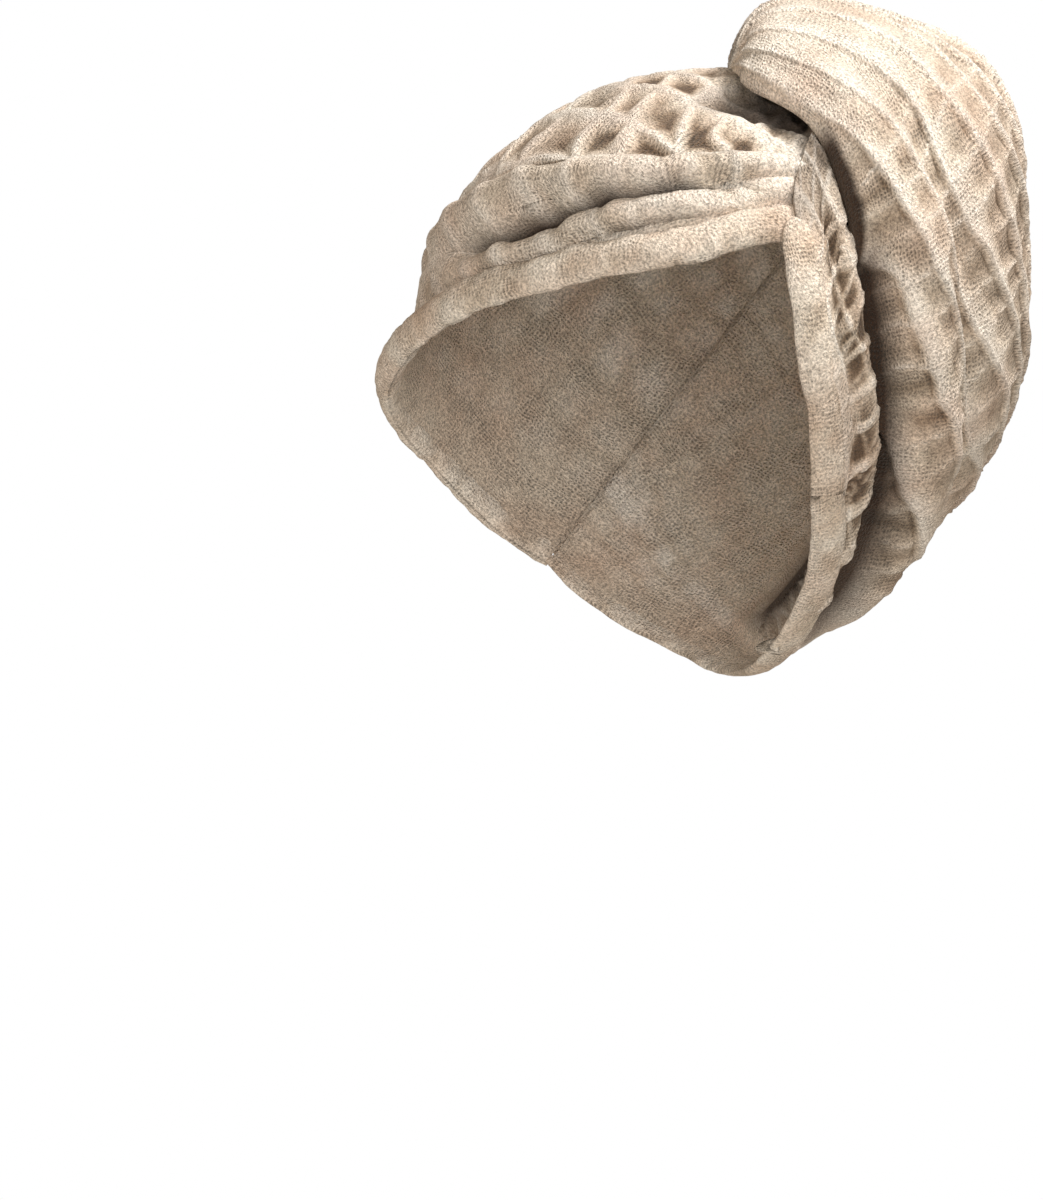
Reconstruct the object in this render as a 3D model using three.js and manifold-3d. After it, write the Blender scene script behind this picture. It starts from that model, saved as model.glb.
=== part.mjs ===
// A hair turban towel, holding the form that it has on a head.
// Two side panels of waffle towelling run from a twist above the forehead, round the sides of the head,
// to a seam at the centre of the back. Each has a rolled hem along the face and the nape.
// The long tail starts in a rolled lobe at the twist, lies over the crown and the right side, and is
// drawn down to the nape, where a loop and a button hold it. The whole wrap is a hollow, thin-walled shell.
//
// Units are millimetres. +Z is up, the face looks along -Y, and +X is to the right of someone facing it.
// The origin is where the crown of the head sits inside the wrap.
import * as THREE from "three";
import { mergeVertices } from "three/addons/utils/BufferGeometryUtils.js";
import Module from "manifold-3d";

const wasm = await Module();
wasm.setup();

// The head with its hair, as the inside of the wrap meets it.
const headWidth = 158;
const headDepth = 196;
const crownHeight = 92; // from the crown down to the widest level
const napeReach = 150; // half height of the form below the widest level
const jawTuck = 0.15; // share of the width that is lost towards the jaw
const napeTuck = 1.25; // share of the depth that is lost towards the nape

// The cloth and how it stands off the head.
const clothThickness = 3;
const headClearance = 1;
const layerGap = 0.5;
const sideFullness = 16;
const tailFullness = 30;
const foldDepth = 6;

// The rolled hems, measured across the roll and through it.
const leftHemWidth = 8.5;
const leftHemThickness = 5.5;
const rightHemWidth = 6;
const rightHemThickness = 4.5;
const hemGap = 0.5;

// The height of the step where the right panel and the tail pass over the left hem.
const twistStep = leftHemThickness + layerGap;
// The share of the tail's length over which its rounded end swells.
const tailNose = 0.08;

// The fastening at the nape.
const buttonDiameter = 23;
const buttonThickness = 4.5;
const buttonRimWidth = 2.5;
const buttonDish = 1.2;
const shankDiameter = 7;
const buttonPolar = 117.5;
const buttonStandOff = 2;
const loopCordDiameter = 3;
const loopWidth = 13;
const loopLength = 20;

// How finely the smooth bodies are cut into flats.
const hemSteps = 40;
const hemSides = 8;
const loopSteps = 24;
const buttonSides = 20;

const radians = THREE.MathUtils.degToRad;
const towelling = { roughness: 0.95, metalness: 0 };
const buttonFinish = { roughness: 0.4, metalness: 0 };
const beige = 0xcdbfa6;
const hemBeige = 0xc3b199;
const hornBrown = 0x8a7660;

// Names the columns of a table: one object for each row.
function table(columns, rows) {
  return rows.map((row) => Object.fromEntries(columns.map((name, i) => [name, row[i]])));
}

// A unit direction from the middle of the head: azimuth 0 is the face, 90 the right side; polar 0 is the crown.
function direction(azimuth, polar) {
  const ring = Math.sin(radians(polar));
  return new THREE.Vector3(
    ring * Math.sin(radians(azimuth)),
    -ring * Math.cos(radians(azimuth)),
    Math.cos(radians(polar)),
  );
}

// The point that stands lift off the head form, seen along a direction from its middle.
function formPoint(heading, lift) {
  const ring = Math.hypot(heading.x, heading.y);
  const lower = heading.z < 0;
  const narrowed = (tuck) => (lower ? (1 - (1 - ring) * tuck) / ring : 1);
  const depthShare = narrowed(heading.y > 0 ? napeTuck : jawTuck);
  const height = (lower ? napeReach : crownHeight) + lift;
  return new THREE.Vector3(
    (headWidth / 2 + lift) * heading.x * narrowed(jawTuck),
    (headDepth / 2 + lift) * heading.y * depthShare,
    height * heading.z - crownHeight,
  );
}

// A smooth curve through the values of a column, which is keyed by another column.
function through(rows, key, value, at) {
  const last = rows.length - 1;
  let i = rows.findIndex((row) => row[key] > at) - 1;
  if (i < 0) i = at < rows[0][key] ? 0 : last - 1;
  const slope = (k) => {
    const before = rows[Math.max(k - 1, 0)];
    const after = rows[Math.min(k + 1, last)];
    return (value(after) - value(before)) / (after[key] - before[key]);
  };
  const span = rows[i + 1][key] - rows[i][key];
  const t = (at - rows[i][key]) / span;
  const rise = value(rows[i + 1]) - value(rows[i]);
  const start = slope(i) * span;
  const end = slope(i + 1) * span;
  return value(rows[i]) + start * t + (3 * rise - 2 * start - end) * t * t + (start + end - 2 * rise) * t ** 3;
}

// Adds the direction of each row, so that a line can be followed between its rows.
function flowLine(rows) {
  return table(["along", "azimuth", "polar", "lift", "step"], rows).map((row) => ({
    ...row,
    heading: direction(row.azimuth, row.polar),
  }));
}

// Where a flow line is at a share of its length: its direction, and its lift and step shares.
function onLine(line, along) {
  const heading = new THREE.Vector3(
    through(line, "along", (row) => row.heading.x, along),
    through(line, "along", (row) => row.heading.y, along),
    through(line, "along", (row) => row.heading.z, along),
  ).normalize();
  return {
    heading,
    lift: through(line, "along", (row) => row.lift, along),
    step: through(line, "along", (row) => row.step, along),
  };
}

// A bump that is 1 in the middle and falls to 0 at a distance of one width.
function bell(offset) {
  return Math.abs(offset) < 1 ? (1 + Math.cos(Math.PI * offset)) / 2 : 0;
}

// 0 before start, 1 after end, and smooth between them.
function ramp(start, end, at) {
  return THREE.MathUtils.smoothstep(at, start, end);
}

// How far the folds of a panel raise or sink the cloth at a place.
function foldLift(folds, along, across) {
  return folds.reduce((sum, fold) => {
    const reach = THREE.MathUtils.inverseLerp(fold.from, fold.to, along);
    const centre = THREE.MathUtils.lerp(fold.acrossFrom, fold.acrossTo, THREE.MathUtils.clamp(reach, 0, 1));
    const fade = ramp(-0.3, 0.1, reach) * (1 - ramp(0.8, 1.5, reach));
    return sum + fold.rise * foldDepth * bell((across - centre) / fold.width) * fade;
  }, 0);
}

// The inner face of a panel of cloth, at shares along and across it.
// Its three flow lines are its two edges and the crest between them.
function innerPoint(panel, along, across) {
  const [first, crest, second] = panel.lines.map((line) => onLine(line, along));
  const a = across;
  const heading = new THREE.Vector3()
    .addScaledVector(first.heading, (1 - a) * (1 - 2 * a))
    .addScaledVector(crest.heading, 4 * a * (1 - a))
    .addScaledVector(second.heading, a * (2 * a - 1))
    .normalize();
  const feet = THREE.MathUtils.lerp(first.lift, second.lift, a) * sideFullness;
  const bulge = Math.sin(Math.PI * a) ** panel.roundness * panel.endRound(along);
  const step = THREE.MathUtils.lerp(first.step, second.step, a) * twistStep;
  const folds = foldLift(panel.folds, along, a) * ramp(0, 0.06, a) * ramp(0, 0.06, 1 - a);
  const lift = feet + (crest.lift * panel.fullness - feet) * bulge + folds;
  return formPoint(heading, headClearance + panel.layer + step + lift);
}

// The direction straight out of a face, at shares along and across it.
function outwardOf(face, along, across) {
  const reach = 0.002;
  const clamp = (share) => THREE.MathUtils.clamp(share, 0, 1);
  const flow = face(clamp(along + reach), across).sub(face(clamp(along - reach), across));
  const side = face(along, clamp(across + reach)).sub(face(along, clamp(across - reach)));
  const normal = flow.cross(side).normalize();
  const centre = new THREE.Vector3(0, 0, -crownHeight);
  return normal.dot(face(along, across).sub(centre)) < 0 ? normal.negate() : normal;
}

// A closed shell between an outer and an inner face, each a grid of points.
function shellGeometry(outer, inner, alongSteps, acrossSteps, spacing) {
  const width = acrossSteps + 1;
  const count = (alongSteps + 1) * width;
  const points = [];
  for (const face of [outer, inner]) {
    for (let i = 0; i <= alongSteps; i++) {
      for (let j = 0; j <= acrossSteps; j++) {
        points.push(...face(spacing(i / alongSteps), (1 - Math.cos((Math.PI * j) / acrossSteps)) / 2));
      }
    }
  }
  const triangles = [];
  const quad = (a, b, c, d) => triangles.push(a, b, c, a, c, d);
  const node = (i, j) => i * width + j;
  for (let i = 0; i < alongSteps; i++) {
    for (let j = 0; j < acrossSteps; j++) {
      const corners = [node(i, j), node(i + 1, j), node(i + 1, j + 1), node(i, j + 1)];
      quad(...corners);
      quad(...corners.map((n) => n + count).reverse());
    }
    for (const [j, turned] of [[0, false], [acrossSteps, true]]) {
      const edge = [node(i, j), node(i, j) + count, node(i + 1, j) + count, node(i + 1, j)];
      quad(...(turned ? edge.reverse() : edge));
    }
  }
  for (let j = 0; j < acrossSteps; j++) {
    for (const [i, turned] of [[0, true], [alongSteps, false]]) {
      const edge = [node(i, j), node(i, j) + count, node(i, j + 1) + count, node(i, j + 1)];
      quad(...(turned ? edge.reverse() : edge));
    }
  }
  const geometry = new THREE.BufferGeometry();
  geometry.setAttribute("position", new THREE.Float32BufferAttribute(points, 3));
  geometry.setIndex(triangles);
  return geometry;
}

// A closed body from a row of rings, which all have as many points, with a flat face at each end.
function ringsGeometry(rings) {
  const sides = rings[0].length;
  const triangles = [];
  for (let i = 0; i < rings.length - 1; i++) {
    for (let k = 0; k < sides; k++) {
      const next = (k + 1) % sides;
      const [a, b, c, d] = [i * sides + k, i * sides + next, (i + 1) * sides + next, (i + 1) * sides + k];
      triangles.push(a, b, c, a, c, d);
    }
  }
  const lastRing = (rings.length - 1) * sides;
  for (let k = 1; k < sides - 1; k++) {
    triangles.push(0, k + 1, k);
    triangles.push(lastRing, lastRing + k, lastRing + k + 1);
  }
  const points = rings.flat().flatMap((point) => point.toArray());
  const geometry = new THREE.BufferGeometry();
  geometry.setAttribute("position", new THREE.Float32BufferAttribute(points, 3));
  geometry.setIndex(triangles);
  return geometry;
}

// One oval ring round a centre, in the plane of two directions.
function ovalRing(centre, outward, sideways, thickness, width, sides) {
  return Array.from({ length: sides }, (_, k) => {
    const turn = (2 * Math.PI * k) / sides;
    return centre
      .clone()
      .addScaledVector(outward, (thickness / 2) * Math.cos(turn))
      .addScaledVector(sideways, (width / 2) * Math.sin(turn));
  });
}

// A roll or cord along a path: an oval ring at each step, square to the path and level with the head.
function rollGeometry(path, steps, sides, width, thickness) {
  const reach = 0.002;
  const rings = [];
  for (let i = 0; i <= steps; i++) {
    const share = i / steps;
    const flow = path(share + reach, 0).sub(path(share - reach, 0)).normalize();
    const up = path(share, 1).sub(path(share, 0));
    const sideways = up.cross(flow).normalize();
    const outward = flow.clone().cross(sideways).normalize();
    rings.push(ovalRing(path(share, 0), outward, sideways, thickness, width, sides));
  }
  return ringsGeometry(rings);
}

// A geometry as a solid that can be joined and cut, with its faces turned outwards.
function solidOf(geometry) {
  const bare = new THREE.BufferGeometry()
    .setAttribute("position", geometry.getAttribute("position"))
    .setIndex(geometry.getIndex());
  const merged = mergeVertices(bare, 1e-4);
  const vertProperties = new Float32Array(merged.getAttribute("position").array);
  const triVerts = new Uint32Array(merged.getIndex().array);
  const solid = new wasm.Manifold(new wasm.Mesh({ numProp: 3, vertProperties, triVerts }));
  if (solid.volume() > 0) return solid;
  const turned = triVerts.map((_, i) => triVerts[i - (i % 3) + (2 - (i % 3))]);
  return new wasm.Manifold(new wasm.Mesh({ numProp: 3, vertProperties, triVerts: turned }));
}

// A named mesh from a solid.
function meshOf(name, solid, colour, finish) {
  const { vertProperties, triVerts } = solid.getMesh();
  const geometry = new THREE.BufferGeometry();
  geometry.setAttribute("position", new THREE.BufferAttribute(vertProperties, 3));
  geometry.setIndex(new THREE.BufferAttribute(triVerts, 1));
  geometry.computeVertexNormals();
  const mesh = new THREE.Mesh(geometry, new THREE.MeshStandardMaterial({ color: colour, ...finish }));
  mesh.name = name;
  return mesh;
}

// The flow lines of the left panel: its hem, the crest of its fullness, and its edge under the tail.
const leftHemLine = flowLine([
  [0.0, 3, 60, 0.0, 0],
  [0.12, -9.5, 71.5, 0.0, 0],
  [0.25, -23, 86.3, 0.0, 0],
  [0.4, -43, 97.5, 0.0, 0],
  [0.55, -69, 109, 0.05, 0],
  [0.7, -100, 121, 0.05, 0],
  [0.85, -140, 125.5, 0.0, 0],
  [1.0, -179.8, 126, 0.0, 0],
]);
const leftCrestLine = flowLine([
  [0.0, -4, 48, 0.04, 0],
  [0.12, -20, 57, 0.2, 0],
  [0.25, -38, 72, 0.65, 0],
  [0.4, -62, 86, 0.97, 0],
  [0.55, -88, 95, 1.0, 0],
  [0.7, -115, 99, 0.8, 0],
  [0.85, -148, 97, 0.5, 0],
  [1.0, -179.8, 96, 0.2, 0],
]);
const leftTopLine = flowLine([
  [0.0, -12, 36, 0.0, 0],
  [0.12, -32, 28, 0.0, 0],
  [0.25, -60, 20, 0.0, 0],
  [0.4, -100, 18, 0.0, 0],
  [0.55, -135, 24, 0.0, 0],
  [0.7, -158, 34, 0.05, 0],
  [0.85, -172, 43, 0.1, 0],
  [1.0, -179.8, 50, 0.15, 0],
]);

// The flow lines of the right panel, which rides over the left hem at the twist.
const rightHemLine = flowLine([
  [0.0, -4, 65.5, 0.0, 1],
  [0.12, 7.2, 74.5, 0.0, 0.92],
  [0.25, 21.5, 86, 0.0, 0.35],
  [0.4, 41, 96, 0.0, 0.05],
  [0.55, 66, 106, 0.0, 0],
  [0.7, 95, 119.5, 0.0, 0],
  [0.85, 137, 125, 0.0, 0],
  [1.0, 179.8, 126, 0.0, 0],
]);
const rightCrestLine = flowLine([
  [0.0, -12, 55, 0.05, 1],
  [0.12, 5, 64, 0.1, 0.92],
  [0.25, 20, 76, 0.14, 0.35],
  [0.4, 41, 89, 0.15, 0.05],
  [0.55, 66, 101, 0.12, 0],
  [0.7, 95, 110, 0.1, 0],
  [0.85, 137, 107, 0.2, 0],
  [1.0, 179.8, 96, 0.2, 0],
]);
const rightTopLine = flowLine([
  [0.0, -20, 40, 0.0, 1],
  [0.12, 0, 42, 0.0, 0.92],
  [0.25, 18, 52, 0.0, 0.35],
  [0.4, 40, 68, 0.0, 0.05],
  [0.55, 66, 80, 0.0, 0],
  [0.7, 95, 82, 0.0, 0],
  [0.85, 137, 70, 0.1, 0],
  [1.0, 179.8, 50, 0.15, 0],
]);

// The flow lines of the tail: its lower front lip, its crest, and its rear lip.
const tailFrontLine = flowLine([
  [0.0, -57, 42.5, 0.1, 0.3],
  [0.125, -40, 46, 0.1, 0.6],
  [0.25, -15, 46.5, 0.05, 1],
  [0.375, 9, 59.5, 0.05, 1],
  [0.5, 31, 75, 0.12, 0.25],
  [0.625, 56, 92.5, 0.15, 0],
  [0.75, 85, 109.5, 0.12, 0],
  [0.875, 128, 117, 0.15, 0],
  [1.0, 173, 112, 0.15, 0],
]);
const tailCrestLine = flowLine([
  [0.0, -61, 41.5, 0.2, 0],
  [0.125, -72, 32, 0.64, 0],
  [0.25, -56, 14, 0.76, 0],
  [0.375, 42, 12, 0.92, 0],
  [0.5, 76, 33, 0.56, 0],
  [0.625, 97, 57, 0.46, 0],
  [0.75, 118, 78, 0.45, 0],
  [0.875, 146, 96, 0.43, 0],
  [1.0, 178.5, 111.5, 0.2, 0],
]);
const tailRearLine = flowLine([
  [0.0, -65, 41, 0.1, 0.1],
  [0.125, -104, 36, 0.1, 0],
  [0.25, -140, 33, 0.1, 0],
  [0.375, -158, 44, 0.15, 0],
  [0.5, -165, 58, 0.3, 0],
  [0.625, -168, 72, 0.4, 0],
  [0.75, -170, 86, 0.45, 0],
  [0.875, -172, 99, 0.4, 0],
  [1.0, -176, 110, 0.15, 0],
]);

// The folds: from where to where each runs along its panel, where it lies across it at those two places,
// half its width, and how high or deep it is.
const foldColumns = ["name", "from", "to", "acrossFrom", "acrossTo", "width", "rise"];
const leftFolds = table(foldColumns, [
  ["upper soft roll", 0.1, 0.45, 0.45, 0.44, 0.12, 0.5],
  ["deep crease", 0.1, 0.42, 0.345, 0.345, 0.08, -0.9],
  ["lower pleat", 0.1, 0.45, 0.26, 0.26, 0.08, 0.4],
  ["shoulder", 0.3, 0.6, 0.74, 0.74, 0.16, 0.4],
]);
const rightFolds = table(foldColumns, [["strip crease", 0.1, 0.5, 0.45, 0.4, 0.15, -0.2]]);
const tailFolds = table(foldColumns, [
  ["lip roll", 0.25, 0.65, 0.05, 0.05, 0.05, 0.3],
  ["lip groove", 0.25, 0.65, 0.13, 0.12, 0.06, -0.5],
  ["crown groove", 0.48, 0.68, 0.47, 0.5, 0.09, -0.5],
]);

const leftPanel = {
  lines: [leftHemLine, leftCrestLine, leftTopLine],
  folds: leftFolds,
  fullness: sideFullness,
  roundness: 3,
  layer: 0,
  endRound: () => 1,
};
const rightPanel = {
  lines: [rightHemLine, rightCrestLine, rightTopLine],
  folds: rightFolds,
  fullness: sideFullness,
  roundness: 3,
  layer: 0,
  endRound: () => 1,
};
const tailPanel = {
  lines: [tailFrontLine, tailCrestLine, tailRearLine],
  folds: tailFolds,
  fullness: tailFullness,
  roundness: 0.45,
  layer: clothThickness + layerGap,
  endRound: (along) => Math.sqrt(1 - (1 - Math.min(along / tailNose, 1)) ** 2),
};

// A panel as a solid of even thickness.
function panelSolid(panel, alongSteps, acrossSteps, spacing = (share) => share) {
  const inner = (along, across) => innerPoint(panel, along, across);
  const outer = (along, across) =>
    inner(along, across).addScaledVector(outwardOf(inner, along, across), clothThickness);
  return solidOf(shellGeometry(outer, inner, alongSteps, acrossSteps, spacing));
}

// The rolled hem along a line: the roll itself, and the room that the panel leaves for it.
function hemSolid(line, width, thickness) {
  const path = (along, lift) => {
    const at = onLine(line, along);
    return formPoint(at.heading, headClearance + at.step * twistStep + thickness / 2 + lift);
  };
  const hemEnd = 0.9975;
  const overrun = 0.01;
  const run = (share, lift) => path(share * hemEnd, lift);
  const longRun = (share, lift) => path(share * (1 + 2 * overrun) - overrun, lift);
  return {
    roll: solidOf(rollGeometry(run, hemSteps, hemSides, width, thickness)),
    room: solidOf(rollGeometry(longRun, hemSteps, hemSides, width + 2 * hemGap, thickness + 2 * hemGap)),
  };
}

// A place near the button, in millimetres to the side of it and below it, standing lift off the head.
function napePoint(aside, below, lift) {
  const azimuth = 180 - THREE.MathUtils.radToDeg(aside / (headDepth / 2));
  const polar = buttonPolar + THREE.MathUtils.radToDeg(below / napeReach);
  return formPoint(direction(azimuth, polar), headClearance + clothThickness + lift);
}

// The button is turned: radius and height of its outline, from the foot of its shank to the hollow of its face.
function buttonSolid() {
  const radius = buttonDiameter / 2;
  const underside = loopCordDiameter - 0.5;
  const face = underside + buttonThickness;
  const outline = table(["radius", "height"], [
    [shankDiameter / 2, 0],
    [shankDiameter / 2, underside],
    [radius * 0.9, underside],
    [radius, underside + buttonThickness * 0.35],
    [radius, underside + buttonThickness * 0.7],
    [radius * 0.9, face],
    [radius - buttonRimWidth, face],
    [radius * 0.6, face - buttonDish],
  ]);
  const foot = napePoint(0, 0, buttonStandOff);
  const down = napePoint(0, 1, buttonStandOff).sub(foot).normalize();
  const aside = new THREE.Vector3(1, 0, 0);
  const outward = aside.clone().cross(down).normalize();
  const rings = outline.map((row) => {
    const centre = foot.clone().addScaledVector(outward, row.height);
    return ovalRing(centre, aside, down, 2 * row.radius, 2 * row.radius, buttonSides);
  });
  return solidOf(ringsGeometry(rings));
}

// The loop of cord: down from the tip of the tail, round the shank, and up again.
function loopSolid() {
  const bend = loopWidth / 2;
  const leg = loopLength - bend;
  const whole = 2 * leg + Math.PI * bend;
  const path = (share, lift) => {
    const run = share * whole;
    const height = buttonStandOff + loopCordDiameter / 2 + lift;
    if (run < leg) return napePoint(-bend, run - leg, height);
    if (run > whole - leg) return napePoint(bend, whole - leg - run, height);
    const turn = (run - leg) / bend;
    return napePoint(-bend * Math.cos(turn), bend * Math.sin(turn), height);
  };
  return solidOf(rollGeometry(path, loopSteps, hemSides, loopCordDiameter, loopCordDiameter));
}

const leftHem = hemSolid(leftHemLine, leftHemWidth, leftHemThickness);
const rightHem = hemSolid(rightHemLine, rightHemWidth, rightHemThickness);
const leftSolid = panelSolid(leftPanel, 40, 20).subtract(leftHem.room);
const rightSolid = panelSolid(rightPanel, 36, 8).subtract(rightHem.room);
const tailSolid = panelSolid(tailPanel, 44, 20, (share) => share ** 1.5);

const towel = new THREE.Group();
towel.add(meshOf("left_panel", leftSolid, beige, towelling));
towel.add(meshOf("right_panel", rightSolid, beige, towelling));
towel.add(meshOf("twisted_tail", tailSolid, beige, towelling));
towel.add(meshOf("left_hem", leftHem.roll, hemBeige, towelling));
towel.add(meshOf("right_hem", rightHem.roll, hemBeige, towelling));
towel.add(meshOf("button_and_loop", buttonSolid().add(loopSolid()), hornBrown, buttonFinish));

export default towel;
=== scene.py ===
# %% [markdown]
# # A hair turban towel in waffle cloth
# A hair turban is a small towel cut and sewn so that it closes round wet hair. Two panels cross in a twist
# above the forehead, and the long tail is rolled there into a lobe, laid over the crown and the right side,
# and held at the nape by a loop and a button. Here it stands in the form that it has when it is worn.
#
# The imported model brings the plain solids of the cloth. This script makes the cloth itself: the raised
# lattice of the waffle, the pleats that run into the twist, the rolled hems, the seam at the back, the
# button and the loop, and the finishes of each.

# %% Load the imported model
import math

import bpy
import numpy as np
from mathutils import Matrix, Vector


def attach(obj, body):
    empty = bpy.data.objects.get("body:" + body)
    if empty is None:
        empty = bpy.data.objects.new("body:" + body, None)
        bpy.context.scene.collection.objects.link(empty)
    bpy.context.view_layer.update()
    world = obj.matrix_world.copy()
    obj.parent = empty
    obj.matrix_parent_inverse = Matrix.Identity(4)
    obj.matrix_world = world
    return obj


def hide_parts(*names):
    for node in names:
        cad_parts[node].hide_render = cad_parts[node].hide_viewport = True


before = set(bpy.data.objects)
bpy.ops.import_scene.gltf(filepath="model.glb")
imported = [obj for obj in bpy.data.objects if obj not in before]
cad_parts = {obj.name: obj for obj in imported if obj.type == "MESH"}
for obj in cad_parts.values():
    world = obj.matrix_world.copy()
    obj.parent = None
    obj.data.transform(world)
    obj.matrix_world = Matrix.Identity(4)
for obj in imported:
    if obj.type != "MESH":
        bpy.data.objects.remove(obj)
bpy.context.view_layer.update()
print("nodes:", sorted(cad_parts))

# %% [markdown]
# ## The camera
# The towel is seen straight from the front, but the picture is turned: the crown points to the upper right.
# A long lens, far away, keeps the two sides of the wrap at the same scale, as in a catalogue picture. The
# camera is rolled about its own axis, so nothing in the scene has to be tilted.

# %% Camera
MM = 0.001  # every table below is in millimetres, and Blender works in metres
LENS = 180.0  # mm
SENSOR = 36.0  # mm, along the long side of the picture
PICTURE_HEIGHT = 1200  # pixels
MM_PER_PIXEL = 0.335  # at the plane of the widest outline
ROLL = math.radians(38.0)
AIM = Vector((1.2, -25.0, -201.8)) * MM

distance = LENS * MM_PER_PIXEL * PICTURE_HEIGHT / SENSOR * MM
right = Vector((math.cos(ROLL), 0.0, math.sin(ROLL)))
up = Vector((-math.sin(ROLL), 0.0, math.cos(ROLL)))
back = right.cross(up)
camera = bpy.data.objects.new("camera", bpy.data.cameras.new("camera"))
camera.data.lens = LENS
camera.data.sensor_width = SENSOR
camera.data.clip_end = 50.0
turned = Matrix((right, up, back)).transposed().to_4x4()
camera.matrix_world = Matrix.Translation(AIM + back * distance) @ turned
bpy.context.scene.collection.objects.link(camera)
bpy.context.scene.camera = camera
print("camera", round(distance, 2), "m away")

# %% [markdown]
# ## The head that the cloth goes round
# Wet hair and head together make a smooth egg, and the cloth follows it at some distance. So each point of
# the cloth is given by a direction from the middle of that egg, and by how far it is lifted off. Azimuth 0
# looks out of the face, 90 is the right side in the picture, and polar 0 is the crown.

# %% The form of the head
HEAD_WIDTH = 158.0
HEAD_DEPTH = 196.0
CROWN_HEIGHT = 92.0  # from the crown down to the widest level
NAPE_REACH = 150.0  # half height of the form below the widest level
JAW_TUCK = 0.15  # share of the width that is lost towards the jaw
NAPE_TUCK = 1.25  # share of the depth that is lost towards the nape


def direction(azimuth, polar):
    """The unit direction of an azimuth and a polar angle, both in degrees."""
    azimuth, polar = np.radians(azimuth), np.radians(polar)
    ring = np.sin(polar)
    return np.stack([ring * np.sin(azimuth), -ring * np.cos(azimuth), np.cos(polar)], -1)


def form_point(heading, lift):
    """The point that stands lift off the head along a direction."""
    x, y, z = heading[..., 0], heading[..., 1], heading[..., 2]
    ring = np.hypot(x, y)
    tuck = np.where(y > 0, NAPE_TUCK, JAW_TUCK)
    side = np.where(z < 0, (1 - (1 - ring) * JAW_TUCK) / ring, 1.0)
    depth = np.where(z < 0, (1 - (1 - ring) * tuck) / ring, 1.0)
    reach = np.where(z < 0, NAPE_REACH, CROWN_HEIGHT) + lift
    across, deep = HEAD_WIDTH / 2 + lift, HEAD_DEPTH / 2 + lift
    return np.stack([across * x * side, deep * y * depth, reach * z - CROWN_HEIGHT], -1)


print("widest level of the head:", form_point(direction(90.0, 90.0), 0.0).round(1))

# %% [markdown]
# ## Flow lines
# Cloth that is wrapped lies in long flowing bands. Each panel is described by three lines that run along
# it: its two edges and the crest between them. A row of a line gives the azimuth and the polar angle in
# which it lies, and how much it lifts off the head there, as a share of the fullness. The step is how much
# it climbs, as a share, where it passes over the hem of the other panel.

# %% Lines and their smooth curves
def through(keys, values, at):
    """A smooth curve through values that are given at keys."""
    keys, values = np.asarray(keys, float), np.asarray(values, float)
    before = np.maximum(np.arange(len(keys)) - 1, 0)
    after = np.minimum(np.arange(len(keys)) + 1, len(keys) - 1)
    slope = (values[after] - values[before]) / (keys[after] - keys[before])
    i = np.clip(np.searchsorted(keys, at, side="right") - 1, 0, len(keys) - 2)
    span = keys[i + 1] - keys[i]
    t = (at - keys[i]) / span
    rise = values[i + 1] - values[i]
    start, end = slope[i] * span, slope[i + 1] * span
    return values[i] + start * t + (3 * rise - 2 * start - end) * t**2 + (start + end - 2 * rise) * t**3


def flow_line(along, step, rows):
    """A line from its shares along, its step there, and rows of azimuth, polar and lift."""
    azimuth, polar, lift = np.array(rows, float).T
    return {"along": along, "heading": direction(azimuth, polar), "lift": lift, "step": step + 0 * lift}


def on_line(line, along):
    """The direction, lift and step of a line at shares of its length."""
    heading = np.stack([through(line["along"], line["heading"][:, k], along) for k in range(3)], -1)
    heading /= np.linalg.norm(heading, axis=-1, keepdims=True)
    return heading, through(line["along"], line["lift"], along), through(line["along"], line["step"], along)


# %% The lines of the left panel
SIDE_ALONG = [0.00, 0.12, 0.25, 0.40, 0.55, 0.70, 0.85, 1.00]
LEFT_HEM = flow_line(SIDE_ALONG, 0, [
    (3, 60, 0.00), (-9.5, 71.5, 0.00), (-23, 86.3, 0.00), (-43, 97.5, 0.00), (-69, 109, 0.05),
    (-100, 121, 0.05), (-140, 125.5, 0.00), (-179.8, 126, 0.00),
])
LEFT_CREST = flow_line(SIDE_ALONG, 0, [
    (-4, 48, 0.04), (-20, 57, 0.20), (-38, 72, 0.65), (-62, 86, 0.97), (-88, 95, 1.00),
    (-115, 99, 0.80), (-148, 97, 0.50), (-179.8, 96, 0.20),
])
LEFT_TOP = flow_line(SIDE_ALONG, 0, [
    (-12, 36, 0.00), (-32, 28, 0.00), (-60, 20, 0.00), (-100, 18, 0.00), (-135, 24, 0.00),
    (-158, 34, 0.05), (-172, 43, 0.10), (-179.8, 50, 0.15),
])

# %% The lines of the right panel
RIGHT_STEP = [1, 0.92, 0.35, 0.05, 0, 0, 0, 0]
RIGHT_HEM = flow_line(SIDE_ALONG, RIGHT_STEP, [
    (-4, 65.5, 0.00), (7.2, 74.5, 0.00), (21.5, 86, 0.00), (41, 96, 0.00), (66, 106, 0.00),
    (95, 119.5, 0.00), (137, 125, 0.00), (179.8, 126, 0.00),
])
RIGHT_CREST = flow_line(SIDE_ALONG, RIGHT_STEP, [
    (-12, 55, 0.05), (5, 64, 0.10), (20, 76, 0.14), (41, 89, 0.15), (66, 101, 0.12),
    (95, 110, 0.10), (137, 107, 0.20), (179.8, 96, 0.20),
])
RIGHT_TOP = flow_line(SIDE_ALONG, RIGHT_STEP, [
    (-20, 40, 0.00), (0, 42, 0.00), (18, 52, 0.00), (40, 68, 0.00), (66, 80, 0.00), (95, 82, 0.00),
    (137, 70, 0.10), (179.8, 50, 0.15),
])

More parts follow.
